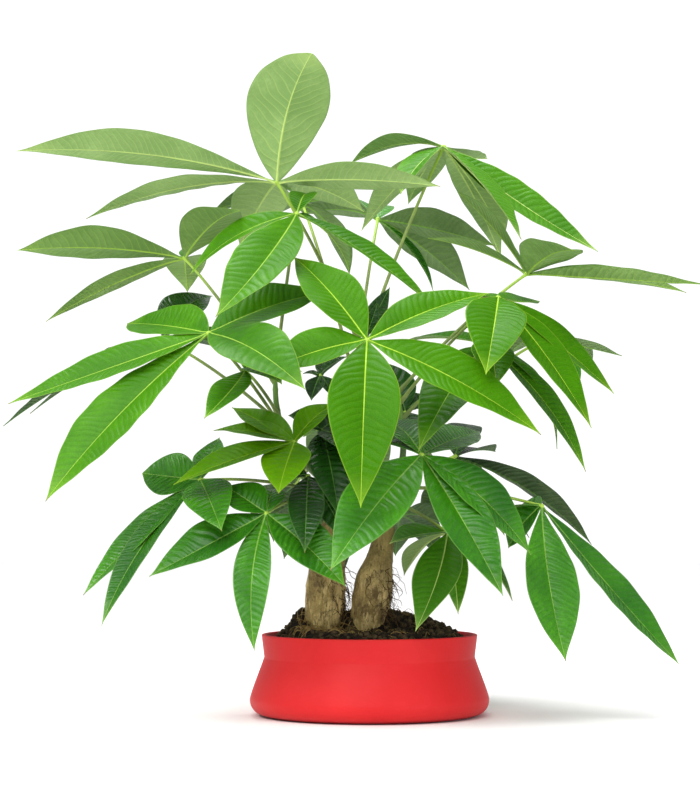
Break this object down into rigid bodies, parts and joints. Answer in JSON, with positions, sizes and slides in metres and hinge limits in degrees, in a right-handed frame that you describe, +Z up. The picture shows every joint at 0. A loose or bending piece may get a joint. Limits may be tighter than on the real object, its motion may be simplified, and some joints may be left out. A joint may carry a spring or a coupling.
{
  "type": "potted money tree",
  "caption": "Money tree with stout bare trunks, green shoots and hand-shaped leaves, growing in a low round red pot filled with soil.",
  "frame": {"origin": "centre of the pot's flat foot, on the surface that it stands on", "axes": "+Z is up along the pot's axis, -Y is the front that the picture shows, and +X is to the right as seen from the front"},
  "size_m": [0.5613, 0.4407, 0.5153],
  "materials": {
    "pot": "satin red glaze",
    "soil": "matte dark potting mix with pale root fibres",
    "bark": "matte tan bark with fine upright streaks",
    "shoot": "satin green stem",
    "leaf": "satin green upper side, paler and duller underside"
  },
  "bodies": {
    "root": {"pot": "pot", "soil": "soil", "trunk_left": "bark", "trunk_right": "bark", "shoot_left_tall": "shoot", "shoot_middle_tall": "shoot", "shoot_right_tall": "shoot", "shoot_low_right": "shoot", "shoot_low_left": "shoot", "shoot_rear_left": "shoot", "shoot_rear_right": "shoot", "leaf_crown": "leaf", "leaf_left_high": "leaf", "leaf_left_front": "leaf", "leaf_left_rear": "leaf", "leaf_upper_front": "leaf", "leaf_crown_rear": "leaf", "leaf_centre_front": "leaf", "leaf_left_small": "leaf", "leaf_right_low_front": "leaf", "leaf_right_front": "leaf", "leaf_right_high": "leaf", "leaf_crown_right": "leaf", "leaf_upper_rear": "leaf", "leaf_heart_front": "leaf", "leaf_low_left_front": "leaf", "leaf_low_left": "leaf", "leaf_young_light": "leaf", "leaf_heart_small": "leaf", "leaf_right_inner": "leaf", "leaf_right_outer": "leaf", "leaf_right_low": "leaf", "leaf_low_right": "leaf", "leaf_low_centre": "leaf", "leaf_bud": "leaf", "leaf_rear_centre": "leaf", "leaf_rear_left_low": "leaf", "leaf_rear_right_low": "leaf", "leaf_rear_low": "leaf", "leaf_rear_heart": "leaf", "leaf_heart_low": "leaf", "leaf_heart_right": "leaf"}
  },
  "joints": []
}
